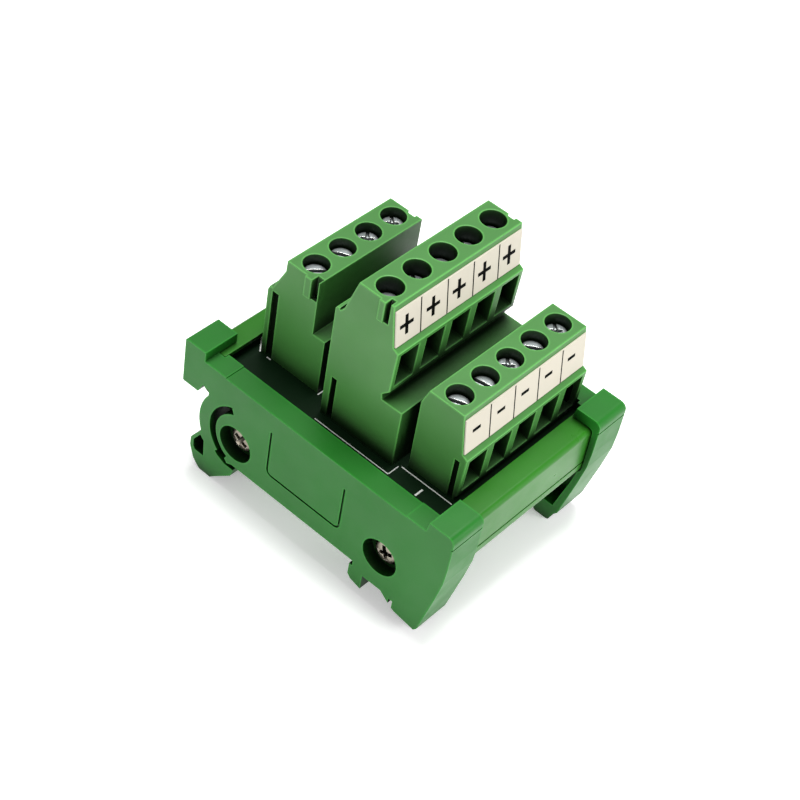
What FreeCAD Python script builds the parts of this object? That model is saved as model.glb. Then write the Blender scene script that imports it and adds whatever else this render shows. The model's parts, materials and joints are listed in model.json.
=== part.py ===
"""Power distribution block: three screw terminal blocks on a circuit board in a rail carrier.

Millimetres. X runs along the terminal rows, -Y is the front (output side), +Z is up.
The origin is at the middle of the underside, where the feet stand.
Outlines are drawn in Y-Z above the top of the board and lifted into place at the end.
"""
import FreeCAD, Part
from collections import namedtuple
import math
import os

# Carrier
CARRIER_LENGTH = 55.0
CARRIER_HALF_WIDTH = 36.2
BOARD_TOP = 28.1
COVER_PLATE = 4.0
COVER_DEPTH = 9.0
COVER_SKIN = 1.45
CORNER_TOP = 5.9
CORNER_LENGTH = 5.8
CORNER_ROUND = 1.6
CORNER_DROP = 6.2
FLANGE_WIDTH = 5.1
FLANGE_TOP = 3.0
FLANGE_GAP = 0.35
FLANGE_STEP = 0.25
FLANGE_STEP_Y = 24.4
SEAM = 0.3

# Mounting rail
RAIL_SEAT = -19.6
RAIL_WIDTH = 35.0
RAIL_FRONT = -14.1
RAIL_SLOT = 1.3
HOOK_REACH = 0.8
SEAT_THICKNESS = 1.6

# Front foot
TOE_Y = -31.5
TOE_Z = 2.7 - BOARD_TOP
HEEL_Y = -26.2
FOOT_START = 2.5

# Spring latch at the rear
ARM_CENTRE_Y = 18.6
ARM_CENTRE_Z = -12.0
ARM_OUTER_RADIUS = 12.2
ARM_INNER_RADIUS = 9.1
ARM_SLOT_RADIUS = 7.3
ARM_DEPTH = 6.5
POCKET_DEPTH = 6.0
FOOT_ROUND = 1.4

# Extruded profile
PROFILE_GAP = 0.25
PROFILE_HALF_WIDTH = CARRIER_HALF_WIDTH - COVER_SKIN - PROFILE_GAP
PROFILE_BOTTOM = -10.2
PROFILE_FLOOR = 1.6
PROFILE_WALL = 1.5
PROFILE_ROUND = 2.4
LIP_REACH = 5.5
LIP_INNER = PROFILE_HALF_WIDTH - LIP_REACH
LIP_TOP = 3.1
LIP_THICKNESS = 1.1
CHANNEL_Y = 20.2
CHANNEL_Z = -13.0
CHANNEL_OUTER = 6.2
CHANNEL_BORE = 2.9
CHANNEL_MOUTH = 0.8

# Circuit board
BOARD_THICKNESS = 1.6
BOARD_SIDE_GAP = 0.6
BOARD_HALF_WIDTH = PROFILE_HALF_WIDTH - PROFILE_WALL - BOARD_SIDE_GAP
BOARD_END_GAP = 0.2
BOARD_SLOT_GAP = 0.15

# Cover screws
COVER_SCREW_HEAD = 6.4
COVER_SCREW_HEAD_HEIGHT = 1.0
COVER_SCREW_SHANK = 2.8
COVER_SCREW_LENGTH = 12.0
COUNTERBORE = 8.8
COUNTERBORE_DEPTH = 3.0

# Marking area on the outer face of a cover
MARK_FRONT = -9.4
MARK_REAR = 11.2
MARK_TOP = -2.1
MARK_BOTTOM = -14.3
MARK_ROUND = 1.6
MARK_LINE = 0.5
MARK_DEPTH = 0.4

# Terminal poles
PITCH = 7.62
HOLE_DIAMETER = 5.6
HEAD_DIAMETER = 5.2
HEAD_HEIGHT = 1.9
SHANK_DIAMETER = 3.5
THREAD_SIDES = 12
DRIVE_SLOT = 0.8
DRIVE_SLOT_DEPTH = 1.0
LEDGE = 1.05
AXIAL_PLAY = 0.05
RADIAL_PLAY = 0.06
CHAMBER_WIDTH = 6.0
CHAMBER_FRONT = 3.3
CHAMBER_BACK = 4.2
CAGE_TRAVEL = 5.0
CAGE_TOP = 1.6
CAGE_BOTTOM = 1.2
CAGE_SIDE = 0.8
CAGE_HALF_DEPTH = 3.0
CAGE_GAP = 0.1
ROOF_GAP = 0.2
BAR_THICKNESS = 1.0
BAR_WIDTH = 3.4
BAR_GAP = 0.2
CLOSED_GAP = 0.5
LEG_THICKNESS = 0.7
LEG_GAP = 0.2
LEG_FOOT = 0.4
PIN_LENGTH = 3.4
PIN_WIDTH = 1.2
PIN_GAP = 0.1
ENTRY_WIDTH = 5.6
ENTRY_NECK = 5.2
ENTRY_TOP = 11.0
ENTRY_BOTTOM = 20.4

# Ribs and grooves that lock blocks side by side
RIB = 0.5
RIB_HEIGHT = 5.1
GROOVE_DEPTH = 1.5
END_SLOT_DEPTH = 2.0

# Marker strips
STRIP_THICKNESS = 0.35
STRIP_TOP = 1.3
STRIP_BOTTOM = 9.5
STRIP_END_GAP = 0.3

# Blocks from front to rear: open gap in front of the block (the gaps share any change of the
# width between the lips), distances from the screw row to the front and rear faces, share of
# the free length of the board beyond the far end, rim height above the board, number of poles,
# direction of the wire entries along Y, depth of the screw heads below the rim, and for each
# screw the angle of its slot
Block = namedtuple("Block", "gap front rear share rim poles side sunk turns row")
BLOCK_SIZES = {
    "minus": Block(1.6, 7.2, 5.8, 0.045, 22.3, 5, -1, 2.1, (60, 25, 70, 40, 15), None),
    "plus": Block(2.2, 10.6, 9.1, 0.315, 38.4, 5, -1, 3.5, (35, 75, 20, 50, 80), None),
    "input": Block(3.9, 7.8, 8.4, 0.425, 27.7, 4, 1, 1.9, (30, 65, 45, 80), None),
}
REAR_GAP = 1.4
BLOCK_GAP = 0.25


def at(shape, x=0.0, y=0.0, z=0.0):
    moved = shape.copy()
    moved.translate(FreeCAD.Vector(x, y, z))
    return moved


def box(x0, x1, y0, y1, z0, z1):
    return Part.makeBox(x1 - x0, y1 - y0, z1 - z0, FreeCAD.Vector(x0, y0, z0))


def prism(outline, x0, x1):
    """Extrude a closed Y-Z outline along X."""
    points = [FreeCAD.Vector(x0, y, z) for y, z in outline]
    wire = Part.makePolygon(points + [points[0]])
    return Part.Face(wire).extrude(FreeCAD.Vector(x1 - x0, 0, 0))


def disc_x(radius, x0, x1, y, z):
    return Part.makeCylinder(radius, x1 - x0, FreeCAD.Vector(x0, y, z), FreeCAD.Vector(1, 0, 0))


def thread(radius, x0, x1, y, z):
    """Threaded length along X, drawn with few flat sides because a fine thread is hidden there."""
    angles = [360 / THREAD_SIDES * side for side in range(THREAD_SIDES)]
    return prism([on_circle(y, z, radius, angle) for angle in angles], x0, x1)


def thread_z(radius, z0, z1, x, y):
    """Threaded length or its hole along Z; the hole's flats clear the turning corners."""
    shape = thread(radius, z0, z1, 0, 0)
    shape.rotate(FreeCAD.Vector(0, 0, 0), FreeCAD.Vector(0, 1, 0), -90)
    return at(shape, x, y)


def thread_hole(diameter, play):
    """Corner radius of a many-sided hole whose flats stay clear of a turning thread."""
    return (diameter / 2 + play) / math.cos(math.pi / THREAD_SIDES)


def disc_z(radius, z0, z1, x, y):
    return Part.makeCylinder(radius, z1 - z0, FreeCAD.Vector(x, y, z0), FreeCAD.Vector(0, 0, 1))


def mirror_y(shape):
    return shape.mirror(FreeCAD.Vector(0, 0, 0), FreeCAD.Vector(0, 1, 0))


def mirror_x(shape):
    return shape.mirror(FreeCAD.Vector(0, 0, 0), FreeCAD.Vector(1, 0, 0))


def rounded(shape, radius, places, slack=0.05):
    """Fillet the edges along X that pass through the given Y-Z places."""
    def chosen(edge):
        start, end = edge.Vertexes[0].Point, edge.Vertexes[-1].Point
        along_x = abs(start.y - end.y) < slack and abs(start.z - end.z) < slack
        return along_x and any(math.hypot(start.y - y, start.z - z) < slack for y, z in places)
    return shape.makeFillet(radius, [edge for edge in shape.Edges if chosen(edge)])


def on_circle(y, z, radius, degrees):
    angle = math.radians(degrees)
    return y + radius * math.cos(angle), z + radius * math.sin(angle)


def ring_sector(inner, outer, first, last, x0, x1):
    """Part of a ring about the spring arm's centre, from one angle to another in degrees."""
    def point(radius, degrees):
        y, z = on_circle(ARM_CENTRE_Y, ARM_CENTRE_Z, radius, degrees)
        return FreeCAD.Vector(x0, y, z)
    middle = (first + last) / 2
    edges = [
        Part.Arc(point(outer, first), point(outer, middle), point(outer, last)).toShape(),
        Part.makeLine(point(outer, last), point(inner, last)),
        Part.Arc(point(inner, last), point(inner, middle), point(inner, first)).toShape(),
        Part.makeLine(point(inner, first), point(outer, first)),
    ]
    return Part.Face(Part.Wire(edges)).extrude(FreeCAD.Vector(x1 - x0, 0, 0))


def placed_blocks():
    """The blocks with their screw rows, set from front to rear between the profile's lips."""
    sizes = BLOCK_SIZES.values()
    free = 2 * LIP_INNER - sum(block.front + block.rear for block in sizes)
    scale = free / (REAR_GAP + sum(block.gap for block in sizes))
    placed, y = {}, -LIP_INNER
    for name, block in BLOCK_SIZES.items():
        row = y + block.gap * scale + block.front
        placed[name] = block._replace(row=row)
        y = row + block.rear
    return placed


BLOCKS = placed_blocks()


def side_rail(gap=0.0):
    """One side of the profile as a solid Y-Z outline, grown by a gap, without its board slot."""
    w = PROFILE_HALF_WIDTH + gap
    return [
        (0, PROFILE_BOTTOM - gap), (w, PROFILE_BOTTOM - gap), (w, LIP_TOP + gap),
        (LIP_INNER - gap, LIP_TOP + gap), (LIP_INNER - gap, BOARD_SLOT_GAP), (0, BOARD_SLOT_GAP),
    ]


def rail_solid(x0, x1, gap=0.0):
    """One side of the profile with its outer corners rounded."""
    w = PROFILE_HALF_WIDTH + gap
    solid = prism(side_rail(gap), x0, x1)
    solid = rounded(solid, PROFILE_ROUND, [(w, PROFILE_BOTTOM - gap)])
    return rounded(solid, PROFILE_ROUND / 2, [(w, LIP_TOP + gap)])


def make_profile():
    x1 = CARRIER_LENGTH / 2 - COVER_PLATE - BOARD_END_GAP
    half = rail_solid(-x1, x1)
    inner_wall = PROFILE_HALF_WIDTH - PROFILE_WALL
    slot_low = -BOARD_THICKNESS - BOARD_SLOT_GAP
    shelf_low = slot_low - PROFILE_WALL
    slot_end = BOARD_HALF_WIDTH + BOARD_SLOT_GAP
    holder = BOARD_SLOT_GAP + PROFILE_WALL / 2
    lip_low = LIP_TOP - LIP_THICKNESS
    # board slot, space between its upper rib and the lip, then the hollow below the board
    half = half.cut(box(-x1, x1, -1, slot_end, slot_low, BOARD_SLOT_GAP))
    half = half.cut(box(-x1, x1, LIP_INNER - 1, BOARD_HALF_WIDTH - PROFILE_WALL / 2, BOARD_SLOT_GAP, lip_low))
    half = half.cut(box(-x1, x1, BOARD_HALF_WIDTH - PROFILE_WALL, inner_wall, holder, lip_low))
    hollow = box(-x1, x1, -1, inner_wall, PROFILE_BOTTOM + PROFILE_FLOOR, shelf_low)
    hollow = rounded(hollow, PROFILE_ROUND - PROFILE_WALL, [(inner_wall, PROFILE_BOTTOM + PROFILE_FLOOR)])
    half = half.cut(hollow)
    half = half.cut(box(-x1, x1, -1, LIP_INNER + PROFILE_WALL, shelf_low - 1, slot_low))
    # grooved line along the outer wall
    groove_z = PROFILE_BOTTOM + 3.6
    half = half.cut(box(-x1, x1, PROFILE_HALF_WIDTH - 0.25, PROFILE_HALF_WIDTH + 1, groove_z, groove_z + 0.4))
    radius = CHANNEL_OUTER / 2
    half = half.fuse(disc_x(radius, -x1, x1, CHANNEL_Y, CHANNEL_Z))
    half = half.fuse(box(-x1, x1, CHANNEL_Y - radius * 0.6, CHANNEL_Y + radius * 0.6,
                         CHANNEL_Z, PROFILE_BOTTOM + PROFILE_FLOOR / 2))
    half = half.cut(disc_x(CHANNEL_BORE / 2, -x1, x1, CHANNEL_Y, CHANNEL_Z))
    half = half.cut(box(-x1, x1, CHANNEL_Y - CHANNEL_MOUTH / 2, CHANNEL_Y + CHANNEL_MOUTH / 2,
                        CHANNEL_Z - radius - 1, CHANNEL_Z))
    return at(half.fuse(mirror_y(half)).removeSplitter(), z=BOARD_TOP)


def block_end(block):
    """X of the far end of a block, placed by its share of the free length between the covers."""
    free = CARRIER_LENGTH - 2 * COVER_PLATE - block.poles * PITCH
    return CARRIER_LENGTH / 2 - COVER_PLATE - block.share * free


def block_start(block):
    return block_end(block) - block.poles * PITCH


def pole_x(block, index):
    return block_start(block) + (index + 0.5) * PITCH


def leg_y(block):
    """Y of the middle of a contact leg, behind the clamp cage."""
    return block.row - block.side * (CHAMBER_BACK - LEG_GAP - LEG_THICKNESS / 2)


def make_board():
    x1 = CARRIER_LENGTH / 2 - COVER_PLATE - BOARD_END_GAP
    board = box(-x1, x1, -BOARD_HALF_WIDTH, BOARD_HALF_WIDTH, -BOARD_THICKNESS, 0)
    half_x = PIN_WIDTH / 2 + PIN_GAP
    half_y = LEG_THICKNESS / 2 + PIN_GAP
    holes = []
    for block in BLOCKS.values():
        y = leg_y(block)
        for index in range(block.poles):
            x = pole_x(block, index)
            holes.append(box(x - half_x, x + half_x, y - half_y, y + half_y, -BOARD_THICKNESS - 1, 1))
    return at(board.cut(Part.makeCompound(holes)), z=BOARD_TOP)


def cover_outline():
    """Face of the end cover up to the root of the spring arm, as Y-Z points."""
    w = CARRIER_HALF_WIDTH
    inner = w - CORNER_LENGTH
    slot = RAIL_SEAT - RAIL_SLOT
    hook = RAIL_FRONT + HOOK_REACH
    return [
        (w, CORNER_TOP - 0.3), (inner, CORNER_TOP - 0.3), (inner, FLANGE_TOP),
        (1.0 - inner, FLANGE_TOP), (0.5 - inner, CORNER_TOP), (-w, CORNER_TOP),
        (-w, FLANGE_TOP), (-w + 0.1, -2.9), (-w + 0.4, -7.3), (-w + 1.6, -13.6),
        (TOE_Y - 0.7, TOE_Z + 0.9), (TOE_Y, TOE_Z), (HEEL_Y, TOE_Z + 0.8), (HEEL_Y + 1.5, TOE_Z + 1.5),
        (-22.0, RAIL_SEAT - 2.1), (hook - 3.7, RAIL_SEAT - 2.1), (hook - 3.7, RAIL_SEAT - 6.2),
        (hook - 0.9, RAIL_SEAT - 5.4), (hook, RAIL_SEAT - 4.4), (hook, slot), (RAIL_FRONT, slot),
        (RAIL_FRONT, RAIL_SEAT), (20.6, RAIL_SEAT), (22.0, RAIL_SEAT - 0.6), (23.6, -18.2),
        (ARM_CENTRE_Y + ARM_OUTER_RADIUS - 1.5, ARM_CENTRE_Z), (28.7, -4.6), (28.7, -3.6),
        (30.5, -3.5), (31.8, -CORNER_DROP), (w, -CORNER_DROP),
    ]


def spring_latch():
    """Curved spring arm that ends in a foot with the rail latch and a pry pocket."""
    nose = RAIL_FRONT + RAIL_WIDTH - HOOK_REACH
    slot = RAIL_SEAT - RAIL_SLOT
    arm = ring_sector(ARM_INNER_RADIUS, ARM_OUTER_RADIUS, 44, -46, 0, ARM_DEPTH)
    foot = prism([
        (28.6, -16.9), (30.2, -16.9), (32.6, -20.5), (32.7, -22.9), (31.5, 1.9 - BOARD_TOP),
        (29.6, -BOARD_TOP), (26.3, -BOARD_TOP), (25.3, 1.0 - BOARD_TOP), (nose + 0.6, slot - 2.2),
        (nose, slot), (nose + 2.6, slot), (24.9, -19.9), (27.1, -17.6),
    ], 0, COVER_DEPTH)
    foot = rounded(foot, FOOT_ROUND, [(29.6, -BOARD_TOP), (31.5, 1.9 - BOARD_TOP)])
    pocket = prism([(30.0, -17.9), (31.8, -20.7), (31.7, -22.6), (31.2, -23.4), (28.7, -23.4), (28.9, -19.0)],
                   -1, POCKET_DEPTH)
    return arm.fuse(foot).cut(pocket)


def front_lug():
    """Inner lug of the front foot, level with the spring latch, so that the part stands level."""
    lug = prism([(TOE_Y, TOE_Z), (TOE_Y + 1.1, -BOARD_TOP), (HEEL_Y - 0.2, -BOARD_TOP),
                 (HEEL_Y, TOE_Z + 1.2), (HEEL_Y, TOE_Z + 2.2), (TOE_Y + 0.6, TOE_Z + 2.2)],
                FOOT_START, COVER_DEPTH)
    return rounded(lug, 0.8, [(TOE_Y + 1.1, -BOARD_TOP), (HEEL_Y - 0.2, -BOARD_TOP)])


def marking_groove():
    """Thin groove round the marking area, open at the top."""
    def field(inset, top):
        y0, y1, z0 = MARK_FRONT + inset, MARK_REAR - inset, MARK_BOTTOM + inset
        shape = box(-1, MARK_DEPTH, y0, y1, z0, top)
        return rounded(shape, MARK_ROUND - inset, [(y0, z0), (y1, z0)])
    return field(0, MARK_TOP).cut(field(MARK_LINE, MARK_TOP + 1))


def make_cover():
    """End cover at the low-X end, with its outer face at X = 0."""
    w = CARRIER_HALF_WIDTH
    body = prism(cover_outline(), 0, COVER_DEPTH)
    body = rounded(body, CORNER_ROUND, [(-w, CORNER_TOP)])
    body = rounded(body, 0.4, [(w, CORNER_TOP - 0.3), (w, -CORNER_DROP)])
    # hollow behind the plate: thin front wall, rail seat and floor of the foot stay
    front = -PROFILE_HALF_WIDTH - PROFILE_GAP
    seat = RAIL_SEAT + SEAT_THICKNESS
    hollow = prism([
        (front, 1), (front, -3.0), (front + 0.3, -7.2), (front + 1.5, -13.3),
        (TOE_Y + 0.9, TOE_Z + 2.0), (HEEL_Y - 0.4, TOE_Z + 2.4), (HEEL_Y + 1.0, TOE_Z + 3.2),
        (-22.4, seat - 2.2), (-15.4, seat - 2.2), (-13.0, seat), (26, seat), (26, 1),
    ], COVER_PLATE, COVER_DEPTH + 1)
    above_flange = box(FLANGE_WIDTH, COVER_DEPTH + 1, 1.0 - w + CORNER_LENGTH, w - CORNER_LENGTH, -1, 5)
    board_space = box(COVER_PLATE, COVER_DEPTH + 1, -w + 2, w - 2, -1, FLANGE_GAP)
    body = body.cut(hollow).cut(above_flange).cut(board_space)
    behind_arm = box(COVER_PLATE, COVER_DEPTH + 1, 22, w + 1, RAIL_SEAT - 5, -CORNER_DROP)
    body = body.cut(behind_arm)
    # C-shaped slot that frees the spring arm
    body = body.cut(ring_sector(ARM_SLOT_RADIUS, ARM_INNER_RADIUS, 68, -60, -1, COVER_PLATE + 1))
    body = body.fuse([spring_latch(), front_lug()])
    for y in (-CHANNEL_Y, CHANNEL_Y):
        body = body.cut(disc_x(COUNTERBORE / 2, -1, COUNTERBORE_DEPTH, y, CHANNEL_Z))
        body = body.cut(disc_x(COVER_SCREW_SHANK / 2 + 0.1, -1, COVER_PLATE + 1, y, CHANNEL_Z))
    seam = box(-1, COVER_DEPTH + 1, -w - 1, -w + SEAM, FLANGE_TOP, FLANGE_TOP + SEAM)
    body = body.cut(seam).cut(marking_groove())
    body = body.cut(box(-1, COVER_PLATE + 1, HEEL_Y + 0.9, HEEL_Y + 1.9, TOE_Z + 1, TOE_Z + 3.2))
    for side in (-1, 1):
        y0, y1 = sorted((side * FLANGE_STEP_Y, side * (w - CORNER_LENGTH)))
        body = body.fuse(box(0, FLANGE_WIDTH, y0, y1, FLANGE_TOP - 1, FLANGE_TOP + FLANGE_STEP))
    rail = rail_solid(COVER_PLATE, COVER_DEPTH + 1, PROFILE_GAP)
    return body.cut([rail, mirror_y(rail)]).removeSplitter()


def clear_of_block(cover, block):
    """The far cover with its flange cut back where a block reaches over it."""
    y0, y1 = block.row - block.front, block.row + block.rear
    x0, x1 = block_start(block), block_end(block) + BLOCK_GAP
    low = BOARD_TOP + FLANGE_GAP - BLOCK_GAP
    return cover.cut(box(x0, x1, y0 - BLOCK_GAP, y1 + BLOCK_GAP, low, BOARD_TOP + CORNER_TOP))


def make_cover_screw(y):
    """Cross-head tapping screw that holds a cover to the profile, driven along +X."""
    seat, z = COUNTERBORE_DEPTH, CHANNEL_Z
    top = seat - COVER_SCREW_HEAD_HEIGHT
    head = disc_x(COVER_SCREW_HEAD / 2, top, seat, y, z)
    shank = thread(COVER_SCREW_SHANK / 2, seat, seat + COVER_SCREW_LENGTH, y, z)
    long_half, short_half, depth = 1.7, 0.4, 0.7
    slot_a = box(top - 1, top + depth, y - long_half, y + long_half, z - short_half, z + short_half)
    slot_b = box(top - 1, top + depth, y - short_half, y + short_half, z - long_half, z + long_half)
    return head.fuse(shank).cut(slot_a).cut(slot_b)


def labelled_outline(block):
    """Upper outline shared by both output blocks, entry side towards -Y."""
    row, rim = block.row, block.rim
    return [
        (row + 4.4, rim), (row - 4.4, rim), (row - 5.85, rim - 9.6), (row - 7.2, rim - 10.4),
        (row - 6.8, rim - ENTRY_BOTTOM - 0.3),
    ]


def plus_outline(block):
    front, rear = block.row - block.front, block.row + block.rear
    lower = [
        (block.row - 5.1, 16.0), (block.row - 5.3, 14.7), (front, 14.7), (front, 0), (rear, 0),
        (rear, 28.7), (rear - 0.4, 29.3), (rear - 1.1, 29.3), (rear - 1.2, 28.8), (rear - 2.1, 29.9),
    ]
    return labelled_outline(block) + lower


def minus_outline(block):
    front, rear = block.row - 6.2, block.row + block.rear
    return labelled_outline(block) + [(front, 1.0), (front, 0), (rear, 0), (rear, block.rim - 3.9)]


def input_outline(block):
    row, rim = block.row, block.rim
    front, rear = row - block.front, row + block.rear
    return [
        (row - 4.5, rim), (row + 4.2, rim), (row + 4.3, rim - 2.8), (row + 7.1, rim - 8.9),
        (row + 7.2, rim - 9.4), (row + 7.9, rim - 9.1), (rear, rim - 10.4), (rear, 0),
        (front, 0), (front, 14.1), (row - 4.5, 14.1),
    ]


def bar_top(block):
    """Height of the top of the fixed contact bar."""
    seat = block.rim - block.sunk - HEAD_HEIGHT - AXIAL_PLAY
    return seat - LEDGE - ROOF_GAP - CAGE_TRAVEL - CAGE_TOP - BAR_GAP


def cage_floor(block):
    """Height of the underside of a cage at rest, fully open."""
    return bar_top(block) - BAR_THICKNESS - CLOSED_GAP - CAGE_TRAVEL - CAGE_BOTTOM


def entry_funnel(block, x):
    """Tapered wire entry from the front face into the chamber."""
    def section(y, half, low, high):
        points = [FreeCAD.Vector(x + side * half, y, z) for side, z in
                  ((-1, low), (1, low), (1, high), (-1, high))]
        return Part.makePolygon(points + [points[0]])
    low, high = block.rim - ENTRY_BOTTOM, block.rim - ENTRY_TOP
    wide = section(block.row + block.side * 9.5, ENTRY_WIDTH / 2, low, high)
    narrow = section(block.row + block.side * (CHAMBER_FRONT - 0.5), ENTRY_NECK / 2, low + 1.6, high - 0.8)
    return Part.makeLoft([wide, narrow], True, True)


def pole_cuts(block, index):
    """Everything removed from a housing for one pole: screw hole, chamber, entry and leg slot."""
    x = pole_x(block, index)
    seat = block.rim - block.sunk - HEAD_HEIGHT - AXIAL_PLAY
    roof = seat - LEDGE
    floor = cage_floor(block) - ROOF_GAP
    y0, y1 = sorted((block.row - block.side * CHAMBER_BACK, block.row + block.side * CHAMBER_FRONT))
    half_x = BAR_WIDTH / 2 + LEG_GAP
    half_y = LEG_THICKNESS / 2 + LEG_GAP
    y = leg_y(block)
    return [
        disc_z(HOLE_DIAMETER / 2, seat, block.rim + 1, x, block.row),
        thread_z(thread_hole(SHANK_DIAMETER, RADIAL_PLAY), roof - 1, seat + 1, x, block.row),
        box(x - CHAMBER_WIDTH / 2, x + CHAMBER_WIDTH / 2, y0, y1, floor, roof),
        entry_funnel(block, x),
        box(x - half_x, x + half_x, y - half_y, y + half_y, -1, floor + 1),
    ]


def make_housing(block, outline, slot):
    """Housing of one block; slot is (y0, y1, top), from the row, of the slot in both end faces."""
    end = block_end(block)
    body = prism(outline(block), block_start(block), end)
    cuts = []
    for index in range(block.poles):
        cuts += pole_cuts(block, index)
    y0, y1, top = block.row + slot[0], block.row + slot[1], slot[2]
    cuts.append(box(block_start(block) - 1, block_start(block) + END_SLOT_DEPTH, y0, y1, -1, top))
    cuts.append(box(end - END_SLOT_DEPTH, end + 1, y0, y1, -1, top))
    return body.cut(Part.makeCompound(cuts))


def add_rib(body, block, rib_y, groove_y):
    """Upright rib and groove at the top of the near end face, and their match at the far end."""
    low, end = block.rim - RIB_HEIGHT, block_end(block)
    y0, y1 = (block.row + y for y in rib_y)
    g0, g1 = (block.row + y for y in groove_y)
    clearance = 0.15
    body = body.fuse(box(block_start(block) - RIB, block_start(block), y0, y1, low, block.rim))
    return body.cut(Part.makeCompound([
        box(block_start(block) - 1, block_start(block) + GROOVE_DEPTH, g0, g1, low, block.rim + 1),
        box(end - RIB - clearance, end + 1, y0 - clearance, y1 + clearance, low - clearance, block.rim + 1),
    ]))


def make_housings():
    plus, minus, feed = BLOCKS["plus"], BLOCKS["minus"], BLOCKS["input"]
    housings = {
        "plus_housing": add_rib(make_housing(plus, plus_outline, (6.1, 7.4, 11.2)), plus,
                                (-2.6, -1.1), (-3.6, -2.6)),
        "minus_housing": make_housing(minus, minus_outline, (-5.6, -4.4, 10.5)),
        "input_housing": add_rib(make_housing(feed, input_outline, (5.4, 7.1, 17.7)), feed,
                                 (-2.8, -1.0), (-4.3, -2.8)),
    }
    return {name: at(shape.removeSplitter(), z=BOARD_TOP) for name, shape in housings.items()}


def make_screw(block, index):
    """Slotted terminal screw, held under the rim, its shank ending above the contact bar."""
    x = pole_x(block, index)
    top = block.rim - block.sunk
    bottom = top - HEAD_HEIGHT
    head = disc_z(HEAD_DIAMETER / 2, bottom, top, x, block.row)
    shank = thread_z(SHANK_DIAMETER / 2, bar_top(block) + BAR_GAP / 2, bottom, x, block.row)
    slot = box(-HEAD_DIAMETER, HEAD_DIAMETER, -DRIVE_SLOT / 2, DRIVE_SLOT / 2,
               top - DRIVE_SLOT_DEPTH, top + 1)
    slot.rotate(FreeCAD.Vector(0, 0, 0), FreeCAD.Vector(0, 0, 1), block.turns[index])
    return at(head.fuse(shank).cut(at(slot, x, block.row)), z=BOARD_TOP)


def make_cage(block, index):
    """Rising clamp cage: a square loop round the contact bar, threaded on the screw."""
    x, row = pole_x(block, index), block.row
    low = cage_floor(block)
    high = bar_top(block) + BAR_GAP + CAGE_TOP
    w = CHAMBER_WIDTH / 2 - CAGE_GAP
    inner = w - CAGE_SIDE
    cage = box(x - w, x + w, row - CAGE_HALF_DEPTH, row + CAGE_HALF_DEPTH, low, high)
    cage = cage.cut(box(x - inner, x + inner, row - CAGE_HALF_DEPTH - 1, row + CAGE_HALF_DEPTH + 1,
                        low + CAGE_BOTTOM, high - CAGE_TOP))
    hole = thread_z(thread_hole(SHANK_DIAMETER, RADIAL_PLAY), high - CAGE_TOP - 1, high + 1, x, row)
    return at(cage.cut(hole), z=BOARD_TOP)


def make_contact(block, index):
    """Contact bar through the cage, its leg behind the cage and its solder pin."""
    x, y, top = pole_x(block, index), leg_y(block), bar_top(block)
    back = y - block.side * LEG_THICKNESS / 2
    front = block.row + block.side * (CAGE_HALF_DEPTH - BAR_GAP)
    w, half = BAR_WIDTH / 2, LEG_THICKNESS / 2
    bar = box(x - w, x + w, min(back, front), max(back, front), top - BAR_THICKNESS, top)
    leg = box(x - w, x + w, y - half, y + half, LEG_FOOT, top)
    pin = box(x - PIN_WIDTH / 2, x + PIN_WIDTH / 2, y - half, y + half, -PIN_LENGTH, LEG_FOOT + 0.5)
    return at(bar.fuse([leg, pin]).removeSplitter(), z=BOARD_TOP)


def make_strip(block):
    """Marker strip laid on the slanted front face of an output block."""
    _, top_corner, ridge = labelled_outline(block)[:3]
    lean = (top_corner[0] - ridge[0]) / (top_corner[1] - ridge[1])
    upper = (top_corner[0] - lean * STRIP_TOP, block.rim - STRIP_TOP)
    lower = (top_corner[0] - lean * STRIP_BOTTOM, block.rim - STRIP_BOTTOM)
    outline = [upper, lower, (lower[0] - STRIP_THICKNESS, lower[1]), (upper[0] - STRIP_THICKNESS, upper[1])]
    return at(prism(outline, block_start(block) + STRIP_END_GAP, block_end(block) - STRIP_END_GAP), z=BOARD_TOP)


def build():
    cover = at(make_cover(), x=-CARRIER_LENGTH / 2, z=BOARD_TOP)
    screws = Part.makeCompound([make_cover_screw(y) for y in (-CHANNEL_Y, CHANNEL_Y)])
    screws = at(screws, x=-CARRIER_LENGTH / 2, z=BOARD_TOP)
    pieces = {
        "profile": make_profile(),
        "circuit_board": make_board(),
        "end_cover_left": cover,
        "end_cover_right": clear_of_block(mirror_x(cover), BLOCKS["minus"]),
        "cover_screws_left": screws,
        "cover_screws_right": mirror_x(screws),
        "plus_marker_strip": make_strip(BLOCKS["plus"]),
        "minus_marker_strip": make_strip(BLOCKS["minus"]),
    }
    pieces.update(make_housings())
    for name, block in BLOCKS.items():
        contacts = []
        for index in range(block.poles):
            pieces[f"{name}_screw_{index + 1}"] = make_screw(block, index)
            pieces[f"{name}_clamp_{index + 1}"] = make_cage(block, index)
            contacts.append(make_contact(block, index))
        pieces[f"{name}_contacts"] = Part.makeCompound(contacts)
    return pieces


os.makedirs("parts", exist_ok=True)
for name, shape in build().items():
    shape.exportStep(f"parts/{name}.step")
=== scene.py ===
"""Looks of the power distribution block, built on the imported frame. Metres."""
import json
import math

import bmesh
import bpy
from mathutils import Matrix, Vector


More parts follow.
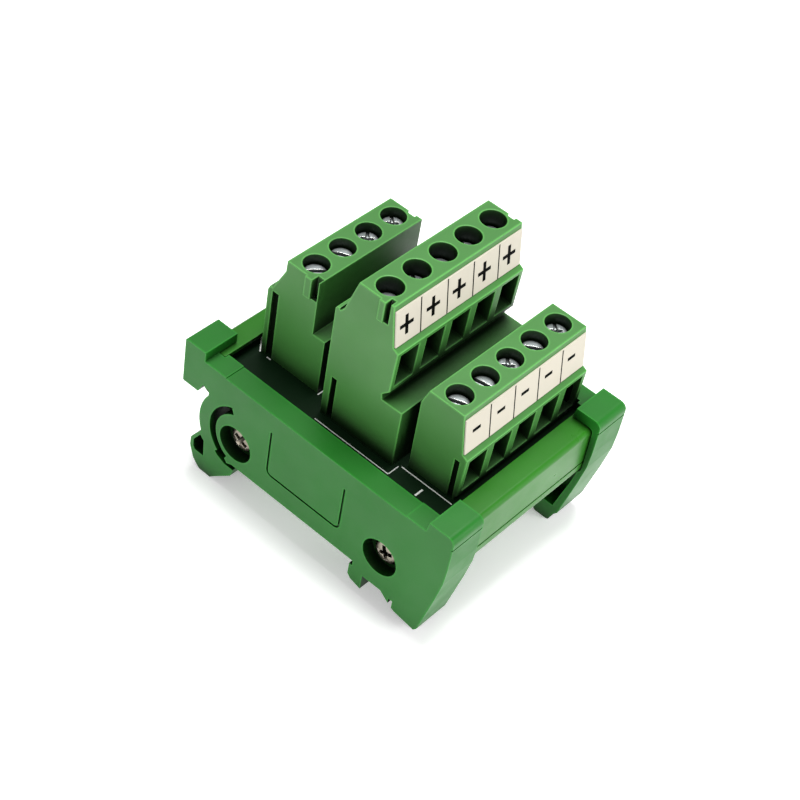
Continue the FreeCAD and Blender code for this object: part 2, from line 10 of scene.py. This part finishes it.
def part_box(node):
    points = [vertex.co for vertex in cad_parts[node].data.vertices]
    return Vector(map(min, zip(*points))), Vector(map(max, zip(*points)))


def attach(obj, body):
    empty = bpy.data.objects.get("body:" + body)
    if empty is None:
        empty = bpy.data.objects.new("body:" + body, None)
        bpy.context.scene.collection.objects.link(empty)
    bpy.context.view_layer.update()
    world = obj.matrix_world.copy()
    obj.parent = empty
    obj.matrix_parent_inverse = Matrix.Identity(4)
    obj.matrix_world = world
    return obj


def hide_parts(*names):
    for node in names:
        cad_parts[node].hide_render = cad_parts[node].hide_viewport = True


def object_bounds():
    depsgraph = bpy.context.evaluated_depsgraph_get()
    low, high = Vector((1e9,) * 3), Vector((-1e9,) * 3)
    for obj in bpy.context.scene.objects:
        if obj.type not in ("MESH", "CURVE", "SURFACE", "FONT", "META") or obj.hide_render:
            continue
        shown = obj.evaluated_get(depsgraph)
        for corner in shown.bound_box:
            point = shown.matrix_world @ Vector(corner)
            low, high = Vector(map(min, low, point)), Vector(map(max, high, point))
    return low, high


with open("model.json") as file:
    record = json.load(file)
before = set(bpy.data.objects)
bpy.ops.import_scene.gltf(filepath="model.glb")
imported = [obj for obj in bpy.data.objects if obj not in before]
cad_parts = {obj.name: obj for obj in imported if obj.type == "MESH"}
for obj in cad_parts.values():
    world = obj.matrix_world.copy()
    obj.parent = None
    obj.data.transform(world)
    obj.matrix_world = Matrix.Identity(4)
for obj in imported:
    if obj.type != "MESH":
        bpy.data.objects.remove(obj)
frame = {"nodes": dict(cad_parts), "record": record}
cad_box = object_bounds()

MM = 0.001
CARRIER = "carrier"
ACROSS = Vector((1, 0, 0))
BACKWARD = Vector((0, 1, 0))
SQUARE = ((-1, -1), (1, -1), (1, 1), (-1, 1))

# Camera, degrees and metres
CAMERA_AZIMUTH = -56.1
CAMERA_ELEVATION = 44.8
CAMERA_ROLL = 11.0
CAMERA_DISTANCE = 0.376
CAMERA_TARGET = Vector((-0.00912, -0.00558, 0.03604))
FOCAL_OVER_FRAME = 1893 / 800
SENSOR = 36.0
CLIP_START = 0.01

# Stage
FLOOR_HALF_SIZE = 3.0
FLOOR_ALBEDO = 0.95
FLOOR_GLOW = 0.27
WORLD_STRENGTH = 0.4

# Area lights: place, size and watts
LIGHTS = {
    "key": ((0.25, 0.1, 0.85), 0.45, 6.3),
    "top": ((0.02, 0, 0.9), 0.2, 2.3),
    "front": ((0.25, -0.8, 0.4), 0.5, 5.4),
    "side": ((-0.85, -0.1, 0.35), 0.6, 2.9),
}
LIGHT_AIM = Vector((0, 0, 0.03))

# Plastics: noise scales per metre, the span of the noise in use, and the depth of the grain
FLOW_SCALE = 60.0
GLOSS_SCALE = 170.0
GRAIN_SCALE = 1400.0
NOISE_SPAN = (0.3, 0.7)
GRAIN_DEPTH = 0.0002
# Spread of the tone of the painted highlight along edges
EDGE_HIGHLIGHT_VARIATION = 0.1

# Metals: dull patches and stretched scratches
PATCH_SCALE = 420.0
PATCH_SPAN = (0.35, 0.62)
PATCH_SHADE = 0.78
SCRATCH_SCALE = 500.0
SCRATCH_SPAN = (0.35, 0.65)
SCRATCH_STRETCH = 9.0
SCRATCH_STRENGTH = 0.12
SCRATCH_DEPTH = 0.0001

# Painted highlight along edges: radius of the probe, and the agreement of normals off and on an
# edge
EDGE_RADIUS = 0.0006
EDGE_OFF = 0.999
EDGE_ON = 0.97

# Painted shade in creases: how far the surroundings count, and how deep the painted shade is by
# their openness
PAINTED_SHADE_REACH = 0.009
METAL_PAINTED_SHADE_REACH = 0.0012
METAL_PAINTED_SHADE = 0.95
PAINTED_SHADE_STOPS = ((0.28, 1.0), (0.48, 0.8), (0.62, 0.28), (0.8, 0.0))

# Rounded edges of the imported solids. Nodes with narrow strips take the least width.
EDGE_WIDTHS = {"plus_housing": 0.00012, "minus_housing": 0.00008, "input_housing": 0.00004,
               "profile": 0.00012}
LEAST_EDGE_WIDTH = 0.00002
WELD_REACH = 1e-7
FLAT_ANGLE = math.radians(0.5)
EDGE_ANGLE = math.radians(35)

# Softened edges of the carved screws, by slot
CARVED_EDGE_WIDTHS = {"terminal_screw": 0.00012, "bright_screw": 0.0002}
CARVED_EDGE_ANGLE = math.radians(40)

# Turned bodies. The tip below the thread is in millimetres.
TURNED_SIDES = 48
RINGS_PER_TURN = 4
TIP_HEIGHT = 0.3

# Terminal screws, millimetres: the head as (radius, height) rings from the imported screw's top
TERMINAL_HEAD = ((0.7, 0.0), (1.3, -0.04), (1.8, -0.11), (2.2, -0.22), (2.45, -0.38),
                 (2.6, -0.62), (2.6, -1.7), (2.5, -1.9))
TERMINAL_CREST_RADIUS = 1.72
TERMINAL_TIP_RADIUS = 1.2
TERMINAL_PITCH = 0.6
TERMINAL_THREAD_DEPTH = 0.3

# Cover screws, millimetres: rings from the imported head's outer face, then the thread's start,
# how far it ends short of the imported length, and the axes from the ends of the pair's box
COVER_HEAD = ((1.2, 0.35), (1.9, 0.29), (2.5, 0.09), (2.95, -0.25), (3.15, -0.6), (3.15, -0.98))
COVER_NECK = -1.0
COVER_CREST_RADIUS = 1.38
COVER_TIP_RADIUS = 0.9
COVER_PITCH = 1.1
COVER_THREAD_DEPTH = 0.34
COVER_TIP_INSET = 2.0
COVER_AXIS_INSET = 3.2
COVER_SPINS = (18, 62)

# Cutters of the drives, millimetres: half length and half width at the top, then at the bottom,
# and the depth. A cross is two cutters: reach, half width and depth.
CUTTER_TOP = 0.8
SLOT_CUTTER = ((3.2, 0.5), (3.2, 0.44), 1.05)
SHALLOW_SLOT_CUTTER = ((3.2, 0.42), (3.2, 0.38), 0.75)
TERMINAL_CROSS = (1.9, 0.5, 1.5)
COVER_CROSS = (2.2, 0.55, 1.25)
CROSS_TAPER = (0.35, 0.7)

# Kind of drive and its angle about Z for every terminal screw, near end first
DRIVES = {
    "plus": (("slot", 143), ("cross", 50), ("slot", 121), ("cross", 64), ("slot", 122)),
    "minus": (("slot", 112), ("slot", 100), ("cross", 44), ("slot", 126), ("cross", 47)),
    "input": (("slot", 141), ("slot", 121), ("cross", 40), ("cross", 46)),
}

# Printed strips, millimetres: first sign from the near end of the part and step, first cell line
# and step, centre of the signs below the housing's top, and the bars of a sign (width, height)
PRINT = {
    "plus": (13.4, 7.66, 17.5, 7.77, 5.35, ((3.9, 0.85), (0.9, 4.6))),
    "minus": (16.0, 7.43, 20.15, 7.49, 4.8, ((2.4, 0.8),)),
}
POLES = 5
INK_THICKNESS = 0.02
STRIP_THICKNESS = 0.35
STRIP_BELOW_TOP = 1.3
CELL_LINE_WIDTH = 0.32
CELL_LINE_SHORTER = 0.05

# Board outlines, millimetres: centre in X from the near end and in Y, width, height, angle
BOARD_LINES = (
    (7.9, -3.2, 0.22, 20.0),
    (9.5, -13.2, 3.0, 0.22),
    (11.4, -20.3, 0.26, 13.2),
    (8.85, -20.5, 2.3, 0.42),
    (13.1, 24.9, 0.3, 1.1),
    (14.1, 11.0, 1.8, 0.26),
    (49.1, -28.0, 0.5, 0.5),
    (49.0, -30.4, 0.5, 0.5),
    (14.9, 28.9, 0.3, 4.4, -50),
)

# Upright end slots, millimetres: from and to in Y from the screw row, and top above the board.
# Their inner walls: from and to in X from the end face, which a rib may stand before, and foot
# above the board. Faces of a box go by its corners, counted with Z fastest and X slowest.
END_SLOTS = {"minus": (-5.6, -4.4, 10.5), "input": (5.4, 7.1, 17.7)}
END_RIBS = {"minus": 0.0, "input": 0.5}
SLOT_WALL = (0.7, 0.98)
SLOT_WALL_FOOT = 0.05
BOX_FACES = ((0, 1, 3, 2), (4, 6, 7, 5), (0, 4, 5, 1), (2, 3, 7, 6), (0, 2, 6, 4), (1, 5, 7, 3))


def srgb(r, g, b):
    """Linear colour from 0-255 screen values."""
    def linear(value):
        value /= 255
        return value / 12.92 if value <= 0.04045 else ((value + 0.055) / 1.055) ** 2.4
    return (linear(r), linear(g), linear(b), 1.0)


def shade(colour, factor):
    return tuple(min(1.0, c * factor) for c in colour[:3]) + (1.0,)


def link(name, data):
    made = bpy.data.objects.new(name, data)
    bpy.context.scene.collection.objects.link(made)
    return made


def to_mesh(name, work):
    mesh = bpy.data.meshes.new(name)
    work.to_mesh(mesh)
    work.free()
    return mesh


def add_camera():
    azimuth, elevation = math.radians(CAMERA_AZIMUTH), math.radians(CAMERA_ELEVATION)
    back = Vector((math.sin(azimuth) * math.cos(elevation),
                   -math.cos(azimuth) * math.cos(elevation),
                   math.sin(elevation)))
    right = Vector((math.cos(azimuth), math.sin(azimuth), 0))
    roll = Matrix.Rotation(math.radians(CAMERA_ROLL), 3, "Z")
    basis = Matrix((right, back.cross(right), back)).transposed() @ roll
    data = bpy.data.cameras.new("camera")
    data.sensor_width = SENSOR
    data.lens = SENSOR * FOCAL_OVER_FRAME
    data.clip_start = CLIP_START
    camera = link("camera", data)
    place = Matrix.Translation(CAMERA_TARGET + back * CAMERA_DISTANCE)
    camera.matrix_world = place @ basis.to_4x4()
    bpy.context.scene.camera = camera


def add_stage():
    mesh = bpy.data.meshes.new("floor")
    corners = [(x * FLOOR_HALF_SIZE, y * FLOOR_HALF_SIZE, 0) for x, y in SQUARE]
    mesh.from_pydata(corners, [], [(0, 1, 2, 3)])
    floor = link("floor", mesh)
    material = bpy.data.materials.new("floor")
    material.use_nodes = True
    shader = material.node_tree.nodes["Principled BSDF"]
    shader.inputs["Base Color"].default_value = (FLOOR_ALBEDO, FLOOR_ALBEDO, FLOOR_ALBEDO, 1)
    shader.inputs["Roughness"].default_value = 0.7
    shader.inputs["Specular IOR Level"].default_value = 0.2
    shader.inputs["Emission Color"].default_value = (1, 1, 1, 1)
    shader.inputs["Emission Strength"].default_value = FLOOR_GLOW
    mesh.materials.append(material)
    world = bpy.data.worlds.new("world")
    world.use_nodes = True
    background = world.node_tree.nodes["Background"]
    background.inputs["Color"].default_value = (1, 1, 1, 1)
    background.inputs["Strength"].default_value = WORLD_STRENGTH
    bpy.context.scene.world = world
    bpy.context.scene.view_settings.view_transform = "Standard"


def add_lights():
    for name, (place, size, power) in LIGHTS.items():
        data = bpy.data.lights.new(name, "AREA")
        data.size = size
        data.energy = power
        light = link(name, data)
        light.location = place
        light.rotation_euler = (LIGHT_AIM - Vector(place)).to_track_quat("-Z", "Y").to_euler()


def new_material(name):
    material = bpy.data.materials.new(name)
    material.use_nodes = True
    tree = material.node_tree
    coords = tree.nodes.new("ShaderNodeTexCoord").outputs["Object"]
    return material, tree, tree.nodes["Principled BSDF"], coords


def add_noise(tree, vector, scale, detail=2.0):
    noise = tree.nodes.new("ShaderNodeTexNoise")
    noise.inputs["Scale"].default_value = scale
    noise.inputs["Detail"].default_value = detail
    tree.links.new(vector, noise.inputs["Vector"])
    return noise.outputs["Fac"]


def add_map(tree, value, low, high, to_low, to_high):
    node = tree.nodes.new("ShaderNodeMapRange")
    limits = {"From Min": low, "From Max": high, "To Min": to_low, "To Max": to_high}
    for name, number in limits.items():
        node.inputs[name].default_value = number
    tree.links.new(value, node.inputs["Value"])
    return node.outputs["Result"]


def add_ramp(tree, value, colours):
    ramp = tree.nodes.new("ShaderNodeValToRGB")
    stops = ramp.color_ramp.elements
    while len(stops) < len(colours):
        stops.new(0.5)
    for stop, (position, colour) in zip(stops, colours):
        stop.position = position
        stop.color = colour
    tree.links.new(value, ramp.inputs["Fac"])
    return ramp.outputs["Color"]


def add_tones(tree, value, colour, low, high, span=NOISE_SPAN):
    """Ramp between two shades of a colour over the span of the value."""
    return add_ramp(tree, value, ((span[0], shade(colour, low)), (span[1], shade(colour, high))))


def add_bump(tree, shader, height, strength, distance):
    bump = tree.nodes.new("ShaderNodeBump")
    bump.inputs["Strength"].default_value = strength
    bump.inputs["Distance"].default_value = distance
    tree.links.new(height, bump.inputs["Height"])
    tree.links.new(bump.outputs["Normal"], shader.inputs["Normal"])


def mix_tones(tree, factor, first, second, blend="MIX"):
    mix = tree.nodes.new("ShaderNodeMix")
    mix.data_type = "RGBA"
    mix.blend_type = blend
    mix.inputs["Factor"].default_value = 1.0
    colours = [socket for socket in mix.inputs if socket.type == "RGBA"]
    tree.links.new(first, colours[0])
    tree.links.new(second, colours[1])
    if factor is not None:
        tree.links.new(factor, mix.inputs["Factor"])
    return next(socket for socket in mix.outputs if socket.type == "RGBA")


def paint_crease_shade(tree, tone, amount, reach):
    """The tone with painted shade: darker where little of the surroundings within reach is open.
    """
    open_sky = tree.nodes.new("ShaderNodeAmbientOcclusion")
    open_sky.inputs["Distance"].default_value = reach
    stops = [(stop, shade((1, 1, 1), 1 - amount * deep)) for stop, deep in PAINTED_SHADE_STOPS]
    painted_shade_ramp = add_ramp(tree, open_sky.outputs["AO"], stops)
    return mix_tones(tree, None, tone, painted_shade_ramp, "MULTIPLY")


def painted_highlight_mask(tree):
    """Mask of the painted highlight: the strips along the edges, where a rounded normal would
    leave the face's own.
    """
    rounded = tree.nodes.new("ShaderNodeBevel")
    rounded.samples = 6
    rounded.inputs["Radius"].default_value = EDGE_RADIUS
    flat = tree.nodes.new("ShaderNodeNewGeometry")
    agree = tree.nodes.new("ShaderNodeVectorMath")
    agree.operation = "DOT_PRODUCT"
    tree.links.new(rounded.outputs["Normal"], agree.inputs[0])
    tree.links.new(flat.outputs["Normal"], agree.inputs[1])
    return add_map(tree, agree.outputs["Value"], EDGE_OFF, EDGE_ON, 0.0, 1.0)


def plastic(name, colour, roughness, grain=GRAIN_SCALE, bump=0.05, variation=0.07, painted_shade=0.0,
            shine=0.3, painted_edge_highlight=0.0):
    """Moulded plastic: broad flow tones, fine grain, an uneven gloss, a painted highlight along
    edges and painted shade in creases.
    """
    material, tree, shader, coords = new_material(name)
    shader.inputs["Specular IOR Level"].default_value = shine
    flow = add_noise(tree, coords, FLOW_SCALE)
    tone = add_tones(tree, flow, colour, 1 - variation, 1 + variation)
    # Painted highlight: a lighter tone on the strips along the edges
    if painted_edge_highlight:
        light = add_tones(tree, flow, colour, painted_edge_highlight * (1 - EDGE_HIGHLIGHT_VARIATION),
                          painted_edge_highlight * (1 + EDGE_HIGHLIGHT_VARIATION))
        tone = mix_tones(tree, painted_highlight_mask(tree), tone, light)
    # Painted shade where the surroundings close in
    if painted_shade:
        tone = paint_crease_shade(tree, tone, painted_shade, PAINTED_SHADE_REACH)
    tree.links.new(tone, shader.inputs["Base Color"])
    gloss = add_map(tree, add_noise(tree, coords, GLOSS_SCALE, 3.0), *NOISE_SPAN,
                    roughness - 0.05, roughness + 0.07)
    tree.links.new(gloss, shader.inputs["Roughness"])
    add_bump(tree, shader, add_noise(tree, coords, grain, 3.0), bump, GRAIN_DEPTH)
    return material


def metal(name, colour, roughness, metallic=1.0, reach=METAL_PAINTED_SHADE_REACH):
    """Plated metal with fine stretched scratches, dull patches and painted shade in creases."""
    material, tree, shader, coords = new_material(name)
    shader.inputs["Metallic"].default_value = metallic
    patches = add_noise(tree, coords, PATCH_SCALE, 4.0)
    tone = add_tones(tree, patches, colour, PATCH_SHADE, 1.0, PATCH_SPAN)
    # Painted shade in the creases and recesses of the drives
    tone = paint_crease_shade(tree, tone, METAL_PAINTED_SHADE, reach)
    tree.links.new(tone, shader.inputs["Base Color"])
    stretch = tree.nodes.new("ShaderNodeMapping")
    stretch.inputs["Scale"].default_value = (1.0, SCRATCH_STRETCH, 1.0)
    tree.links.new(coords, stretch.inputs["Vector"])
    lines = add_noise(tree, stretch.outputs["Vector"], SCRATCH_SCALE, 3.0)
    gloss = add_map(tree, lines, *SCRATCH_SPAN, roughness - 0.07, roughness + 0.1)
    tree.links.new(gloss, shader.inputs["Roughness"])
    add_bump(tree, shader, lines, SCRATCH_STRENGTH, SCRATCH_DEPTH)
    return material


COVER_GREEN = srgb(26, 100, 27)
BLOCK_GREEN = srgb(62, 117, 54)
PROFILE_GREEN = srgb(39, 106, 24)
# The greens and the metals carry painted shade in their creases, and the greens a painted
# highlight along their edges
MATERIALS = {
    "cover_green": plastic("cover_green", COVER_GREEN, 0.4, painted_shade=0.97, shine=0.22, painted_edge_highlight=1.5),
    "block_green": plastic("block_green", BLOCK_GREEN, 0.4, painted_shade=0.95, painted_edge_highlight=1.75),
    "profile_green": plastic("profile_green", PROFILE_GREEN, 0.32, bump=0.03, painted_shade=0.9,
                             shine=0.22, painted_edge_highlight=1.3),
    "board": plastic("board", srgb(8, 30, 12), 0.5, grain=2200.0, bump=0.03, shine=0.08),
    "marker_cream": plastic("marker_cream", srgb(192, 186, 172), 0.6, grain=2600.0, bump=0.06,
                            variation=0.03, shine=0.15),
    "bright_screw": metal("bright_screw", srgb(150, 142, 128), 0.3, reach=0.003),
    "terminal_screw": metal("terminal_screw", srgb(188, 196, 196), 0.34, metallic=0.7),
    "clamp_metal": metal("clamp_metal", srgb(120, 122, 120), 0.42),
    "contact_metal": metal("contact_metal", srgb(150, 148, 138), 0.38),
}

# Painted highlight on bevelled edges: a near-white metal on the carved screws, and lighter
# copies of the greens on the imported solids that have room for a wide one
PAINTED_GLINT_EDGE = metal("painted_glint_edge", srgb(255, 252, 244), 0.26, metallic=0.9)
PAINTED_HIGHLIGHT_EDGES = {
    "block_green": plastic("block_edge_painted_highlight", shade(BLOCK_GREEN, 1.9), 0.34, painted_shade=0.97),
    "profile_green": plastic("profile_edge_painted_highlight", shade(PROFILE_GREEN, 1.25), 0.28, painted_shade=0.9),
}

# Painted shade: a near-black copy of the block green, for the walls deep in the end slots
PAINTED_SHADE_GREEN = plastic("block_green_painted_shade", shade(BLOCK_GREEN, 0.03), 0.9, shine=0.05)
INK_BLACK = plastic("ink_black", srgb(5, 5, 4), 0.6, grain=2600.0, bump=0.03, variation=0.2,
                    shine=0.03)
INK_WHITE = plastic("ink_white", srgb(214, 216, 212), 0.55, grain=2600.0, variation=0.05)


def dress_cad():
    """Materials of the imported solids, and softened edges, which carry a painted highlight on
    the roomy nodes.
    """
    for part in frame["record"]["subparts"]:
        node = frame["nodes"][part["node"]]
        slot = part["material_slot"]
        roomy = part["node"] in EDGE_WIDTHS
        node.data.materials.clear()
        node.data.materials.append(MATERIALS[slot])
        weld = node.modifiers.new("join", "WELD")
        weld.merge_threshold = WELD_REACH
        merge = node.modifiers.new("flat_faces", "DECIMATE")
        merge.decimate_type = "DISSOLVE"
        merge.angle_limit = FLAT_ANGLE
        bevel = node.modifiers.new("edges", "BEVEL")
        bevel.width = EDGE_WIDTHS.get(part["node"], LEAST_EDGE_WIDTH)
        bevel.use_clamp_overlap = not roomy
        bevel.loop_slide = False
        bevel.segments = 2
        bevel.limit_method = "ANGLE"
        bevel.angle_limit = EDGE_ANGLE
        # The bevel faces of roomy nodes take a lighter copy of the material, a painted highlight
        if roomy:
            node.data.materials.append(PAINTED_HIGHLIGHT_EDGES[slot])
            bevel.material = 1
        normals = node.modifiers.new("normals", "WEIGHTED_NORMAL")
        normals.keep_sharp = True


def add_piece(name, mesh, material, body=CARRIER, place=None):
    piece = link(name, mesh)
    if place is not None:
        piece.matrix_world = place
    if not mesh.materials:
        mesh.materials.append(material)
    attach(piece, body)
    return piece


def close_prism(work, low, high):
    """Faces of a prism between a lower and an upper loop of four corners."""
    work.faces.new(list(reversed(low)))
    work.faces.new(high)
    for side in range(4):
        following = (side + 1) % 4
        work.faces.new((low[side], low[following], high[following], high[side]))


def turned(rings, pitch, depth, thread):
    """Closed turned body about Z from (radius, z) rings in millimetres, top first.

    Rings from index thread[0] up to thread[1] carry a helical thread of the given depth.
    """
    work = bmesh.new()
    loops = []
    for index, (radius, z) in enumerate(rings):
        loop = []
        for side in range(TURNED_SIDES):
            angle = 2 * math.pi * side / TURNED_SIDES
            r = radius
            if thread[0] <= index < thread[1]:
                phase = (z / pitch - angle / (2 * math.pi)) % 1.0
                r -= depth * abs(2 * phase - 1)
            x, y = r * math.cos(angle), r * math.sin(angle)
            loop.append(work.verts.new((x * MM, y * MM, z * MM)))
        loops.append(loop)
    for upper, lower in zip(loops, loops[1:]):
        for side in range(TURNED_SIDES):
            following = (side + 1) % TURNED_SIDES
            work.faces.new((upper[side], lower[side], lower[following], upper[following]))
    work.faces.new(loops[0])
    work.faces.new(list(reversed(loops[-1])))
    bmesh.ops.recalc_face_normals(work, faces=work.faces)
    return work


def threaded_rings(head, top, tip, radius, pitch, tip_radius):
    """Rings of a head, then of a thread down to the tip, and the thread's indices."""
    head = list(head)
    steps = int((top - tip) / (pitch / RINGS_PER_TURN))
    body = [(radius, top - (top - tip) * step / steps) for step in range(steps + 1)]
    rings = head + body + [(tip_radius, tip - TIP_HEIGHT)]
    return rings, (len(head), len(head) + len(body))


def wedge(half_top, half_low, depth, turn=0.0):
    """Cutter that narrows downwards: half length and half width at the top and at the depth."""
    work = bmesh.new()
    spin = Matrix.Rotation(turn, 3, "Z")
    loops = []
    for (half_x, half_y), z in ((half_low, -depth), (half_top, CUTTER_TOP)):
        loops.append([work.verts.new(spin @ Vector((x * half_x, y * half_y, z)) * MM)
                      for x, y in SQUARE])
    close_prism(work, *loops)
    return work


def cross_cutters(reach, half, depth):
    foot = (reach * CROSS_TAPER[0], half * CROSS_TAPER[1])
    return [wedge((reach, half), foot, depth, turn) for turn in (0.0, math.pi / 2)]


def carve(name, body, cutters, slot):
    """The turned body less the cutters, as a new mesh with softened edges that carry a painted
    glint.
    """
    solid = link(name, to_mesh(name, body))
    tools = [link(f"{name}_cut", to_mesh(f"{name}_cut", cutter)) for cutter in cutters]
    for tool in tools:
        cut = solid.modifiers.new("cut", "BOOLEAN")
        cut.object = tool
        cut.solver = "EXACT"
    solid.data.materials.append(MATERIALS[slot])
    solid.data.materials.append(PAINTED_GLINT_EDGE)
    soften = solid.modifiers.new("soften", "BEVEL")
    soften.width = CARVED_EDGE_WIDTHS[slot]
    soften.segments = 2
    soften.limit_method = "ANGLE"
    soften.angle_limit = CARVED_EDGE_ANGLE
    # The bevel faces take the near-white metal, a painted glint
    soften.material = 1
    graph = bpy.context.evaluated_depsgraph_get()
    mesh = bpy.data.meshes.new_from_object(solid.evaluated_get(graph))
    mesh.name = name
    mesh.shade_smooth()
    mesh.set_sharp_from_angle(angle=EDGE_ANGLE)
    for made in [solid] + tools:
        old = made.data
        bpy.data.objects.remove(made)
        bpy.data.meshes.remove(old)
    return mesh


def terminal_screw_mesh(kind, length):
    rings, thread = threaded_rings(TERMINAL_HEAD, TERMINAL_HEAD[-1][1], TIP_HEIGHT - length,
                                   TERMINAL_CREST_RADIUS, TERMINAL_PITCH, TERMINAL_TIP_RADIUS)
    body = turned(rings, TERMINAL_PITCH, TERMINAL_THREAD_DEPTH, thread)
    if kind == "slot":
        cutters = [wedge(*SLOT_CUTTER)]
    else:
        cutters = [wedge(*SHALLOW_SLOT_CUTTER)] + cross_cutters(*TERMINAL_CROSS)
    return carve(f"screw_{kind}", body, cutters, "terminal_screw")


def add_terminal_screws():
    meshes = {}
    for block, drives in DRIVES.items():
        for index, (kind, angle) in enumerate(drives):
            node = f"{block}_screw_{index + 1}"
            low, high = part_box(node)
            if kind not in meshes:
                meshes[kind] = terminal_screw_mesh(kind, (high.z - low.z) / MM)
            middle = (low + high) / 2
            place = (Matrix.Translation((middle.x, middle.y, high.z))
                     @ Matrix.Rotation(math.radians(angle), 4, "Z"))
            screw = add_piece(f"{node}_detail", meshes[kind],
                              MATERIALS["terminal_screw"], node, place)
            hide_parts(node)


def add_cover_screws():
    """Both screws of each cover, in one mesh, with a rounded cross-recessed head."""
    for side, turn in (("left", -90), ("right", 90)):
        node = f"cover_screws_{side}"
        low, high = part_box(node)
        length = (high.x - low.x) / MM
        rings, thread = threaded_rings(COVER_HEAD, COVER_NECK, COVER_TIP_INSET - length,
                                       COVER_CREST_RADIUS, COVER_PITCH, COVER_TIP_RADIUS)
        body = turned(rings, COVER_PITCH, COVER_THREAD_DEPTH, thread)
        single = carve(f"{node}_one", body, cross_cutters(*COVER_CROSS), "bright_screw")
        both = bmesh.new()
        seat = low.x if side == "left" else high.x
        z = (low.z + high.z) / 2
        axes = (low.y + COVER_AXIS_INSET * MM, high.y - COVER_AXIS_INSET * MM)
        for y, spin in zip(axes, COVER_SPINS):
            moved = single.copy()
            moved.transform(Matrix.Translation((seat, y, z))
                            @ Matrix.Rotation(math.radians(turn), 4, "Y")
                            @ Matrix.Rotation(math.radians(spin), 4, "Z"))
            both.from_mesh(moved)
            bpy.data.meshes.remove(moved)
        bpy.data.meshes.remove(single)
        mesh = to_mesh(f"{node}_detail", both)
        # The second slot is the painted glint on the bevel faces
        mesh.materials.append(MATERIALS["bright_screw"])
        mesh.materials.append(PAINTED_GLINT_EDGE)
        screws = add_piece(f"{node}_detail", mesh, MATERIALS["bright_screw"])
        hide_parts(node)


def plates(name, origin, across, up, rectangles, material):
    """Thin printed rectangles: centre across and up, width, height, and an angle if turned."""
    normal = across.cross(up)
    work = bmesh.new()
    for x, v, width, height, *turn in rectangles:
        spin = Matrix.Rotation(math.radians(turn[0]) if turn else 0.0, 2)
        loops = []
        for lift in (0.0, INK_THICKNESS):
            loop = []
            for side_x, side_v in SQUARE:
                corner = spin @ Vector((side_x * width / 2, side_v * height / 2))
                point = across * (x + corner.x) + up * (v + corner.y) + normal * lift
                loop.append(work.verts.new(origin + point * MM))
            loops.append(loop)
        close_prism(work, *loops)
    return add_piece(name, to_mesh(name, work), material)


def add_prints():
    """Plus and minus signs and the lines between the cells of the marker strips."""
    for block, (first, step, line, line_step, drop, bars) in PRINT.items():
        low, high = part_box(f"{block}_marker_strip")
        top_y = high.y - STRIP_THICKNESS * MM
        up = Vector((0, top_y - low.y, high.z - low.z))
        height = up.length / MM
        up.normalize()
        origin = Vector((cad_box[0][0], low.y, low.z))
        centre = height - (drop - STRIP_BELOW_TOP) / up.z
        signs = [(first + step * cell, centre, width, tall)
                 for cell in range(POLES) for width, tall in bars]
        plates(f"{block}_signs", origin, ACROSS, up, signs, INK_BLACK)
        lines = [(line + line_step * cell, height / 2, CELL_LINE_WIDTH,
                  height - CELL_LINE_SHORTER) for cell in range(POLES - 1)]
        plates(f"{block}_cell_lines", origin, ACROSS, up, lines, INK_BLACK)


def add_board_print():
    """White outlines and the polarity mark on the board."""
    low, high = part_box("circuit_board")
    origin = Vector((cad_box[0][0], 0, high.z))
    plates("board_lines", origin, ACROSS, BACKWARD, BOARD_LINES, INK_WHITE)


def add_slot_walls():
    """Walls that part the upright end slots from the wire entries beside them, near black as
    painted shade.
    """
    board_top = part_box("circuit_board")[1].z
    outer, inner = (offset * MM for offset in SLOT_WALL)
    for block, (front, rear, top) in END_SLOTS.items():
        screw_low, screw_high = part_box(f"{block}_screw_1")
        row = (screw_low.y + screw_high.y) / 2
        low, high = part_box(f"{block}_housing")
        near = low.x + END_RIBS[block] * MM
        work = bmesh.new()
        for walls in ((near + outer, near + inner), (high.x - inner, high.x - outer)):
            corners = [work.verts.new((x, row + y * MM, board_top + z * MM))
                       for x in walls for y in (front, rear) for z in (SLOT_WALL_FOOT, top)]
            for face in BOX_FACES:
                work.faces.new([corners[i] for i in face])
        bmesh.ops.recalc_face_normals(work, faces=work.faces)
        name = f"{block}_slot_walls"
        add_piece(name, to_mesh(name, work), PAINTED_SHADE_GREEN)


add_camera()
add_stage()
add_lights()
dress_cad()
add_terminal_screws()
add_cover_screws()
add_prints()
add_board_print()
add_slot_walls()
